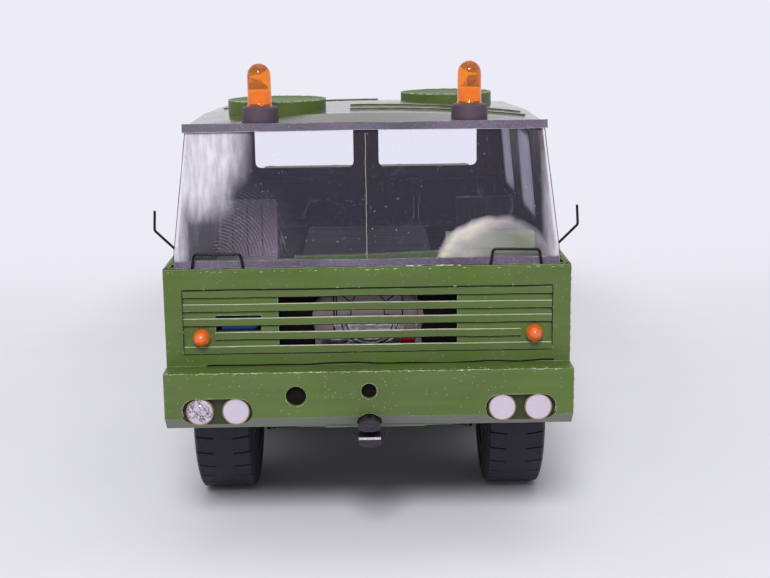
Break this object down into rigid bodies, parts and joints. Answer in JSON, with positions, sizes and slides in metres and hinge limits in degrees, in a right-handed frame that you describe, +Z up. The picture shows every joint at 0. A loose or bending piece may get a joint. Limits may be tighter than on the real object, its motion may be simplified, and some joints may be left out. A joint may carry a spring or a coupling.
{
  "type": "scale-model military cargo truck",
  "caption": "Card scale model of a forward-control army cargo truck with an open slatted grille, a flat cargo bed and wheels that roll.",
  "frame": {"origin": "centre of the bounding box's underside, at the floor below the middle of the truck", "axes": "+Z up, -Y towards the front of the truck, +X towards the truck's left side"},
  "size_m": [0.0822, 0.2818, 0.0937],
  "materials": {
    "green_card": "painted card, semi-matt",
    "black_card": "black painted card, matt",
    "tyre_card": "black painted laminated card, matt",
    "dark_strip": "dark painted card strip",
    "engine_card": "grey painted card",
    "seat_card": "grey-brown painted card",
    "blue_card": "blue painted card",
    "red_card": "red painted card",
    "clear_film": "clear acetate film",
    "amber_lens": "moulded translucent amber resin",
    "lamp_foil": "crinkled foil disc",
    "silver_foil": "foil",
    "dark_metal": "blackened steel",
    "dark_wire": "dark oxidised steel wire"
  },
  "bodies": {
    "truck": {"bumper": "green_card", "headlamp_recesses": "black_card", "headlamps": "lamp_foil", "tow_brace": "black_card", "tow_jaws": "dark_metal", "cab_front_panel": "green_card", "grille_slats": "green_card", "grille_backing": "green_card", "indicator_lamps": "amber_lens", "reservoir": "blue_card", "engine_block": "engine_card", "engine_disc": "silver_foil", "windscreen": "clear_film", "windscreen_strips": "dark_strip", "cab_side_left": "green_card", "cab_side_right": "green_card", "side_glazing": "clear_film", "cab_rear_wall": "green_card", "cab_roof": "green_card", "roof_hatches": "green_card", "beacon_collars": "black_card", "beacon_lamps": "amber_lens", "wire_handles_and_arms": "dark_wire", "cab_floor": "black_card", "instrument_panel": "green_card", "steering_wheel": "black_card", "seats": "seat_card", "backbone_tube": "black_card", "chassis_rails": "black_card", "chassis_crossmembers": "black_card", "axles": "black_card", "fuel_tank": "green_card", "tool_box": "green_card", "air_cleaner": "green_card", "silencer": "black_card", "spare_tyre": "tyre_card", "spare_wheel_disc": "green_card", "spare_carrier": "black_card", "bed_bearers": "black_card", "bed_floor": "green_card", "side_boards": "green_card", "end_boards": "green_card", "mudflaps": "black_card", "rear_lamps": "red_card"},
    "wheel_1_left": {"tyre_1_left": "tyre_card", "wheel_disc_1_left": "green_card"},
    "wheel_1_right": {"tyre_1_right": "tyre_card", "wheel_disc_1_right": "green_card"},
    "wheel_2_left": {"tyre_2_left": "tyre_card", "wheel_disc_2_left": "green_card"},
    "wheel_2_right": {"tyre_2_right": "tyre_card", "wheel_disc_2_right": "green_card"},
    "wheel_3_left": {"tyre_3_left": "tyre_card", "wheel_disc_3_left": "green_card"},
    "wheel_3_right": {"tyre_3_right": "tyre_card", "wheel_disc_3_right": "green_card"},
    "wheel_4_left": {"tyre_4_left": "tyre_card", "wheel_disc_4_left": "green_card"},
    "wheel_4_right": {"tyre_4_right": "tyre_card", "wheel_disc_4_right": "green_card"}
  },
  "joints": [
    {"name": "roll_1_left", "type": "hinge", "parent": "truck", "child": "wheel_1_left", "pos_m": [0.0308, -0.0945, 0.0204], "axis": [1, 0, 0], "continuous": true},
    {"name": "roll_1_right", "type": "hinge", "parent": "truck", "child": "wheel_1_right", "pos_m": [-0.0308, -0.0945, 0.0204], "axis": [1, 0, 0], "continuous": true},
    {"name": "roll_2_left", "type": "hinge", "parent": "truck", "child": "wheel_2_left", "pos_m": [0.0308, -0.0429, 0.0204], "axis": [1, 0, 0], "continuous": true},
    {"name": "roll_2_right", "type": "hinge", "parent": "truck", "child": "wheel_2_right", "pos_m": [-0.0308, -0.0429, 0.0204], "axis": [1, 0, 0], "continuous": true},
    {"name": "roll_3_left", "type": "hinge", "parent": "truck", "child": "wheel_3_left", "pos_m": [0.0308, 0.02587, 0.0204], "axis": [1, 0, 0], "continuous": true},
    {"name": "roll_3_right", "type": "hinge", "parent": "truck", "child": "wheel_3_right", "pos_m": [-0.0308, 0.02587, 0.0204], "axis": [1, 0, 0], "continuous": true},
    {"name": "roll_4_left", "type": "hinge", "parent": "truck", "child": "wheel_4_left", "pos_m": [0.0308, 0.07117, 0.0204], "axis": [1, 0, 0], "continuous": true},
    {"name": "roll_4_right", "type": "hinge", "parent": "truck", "child": "wheel_4_right", "pos_m": [-0.0308, 0.07117, 0.0204], "axis": [1, 0, 0], "continuous": true}
  ]
}
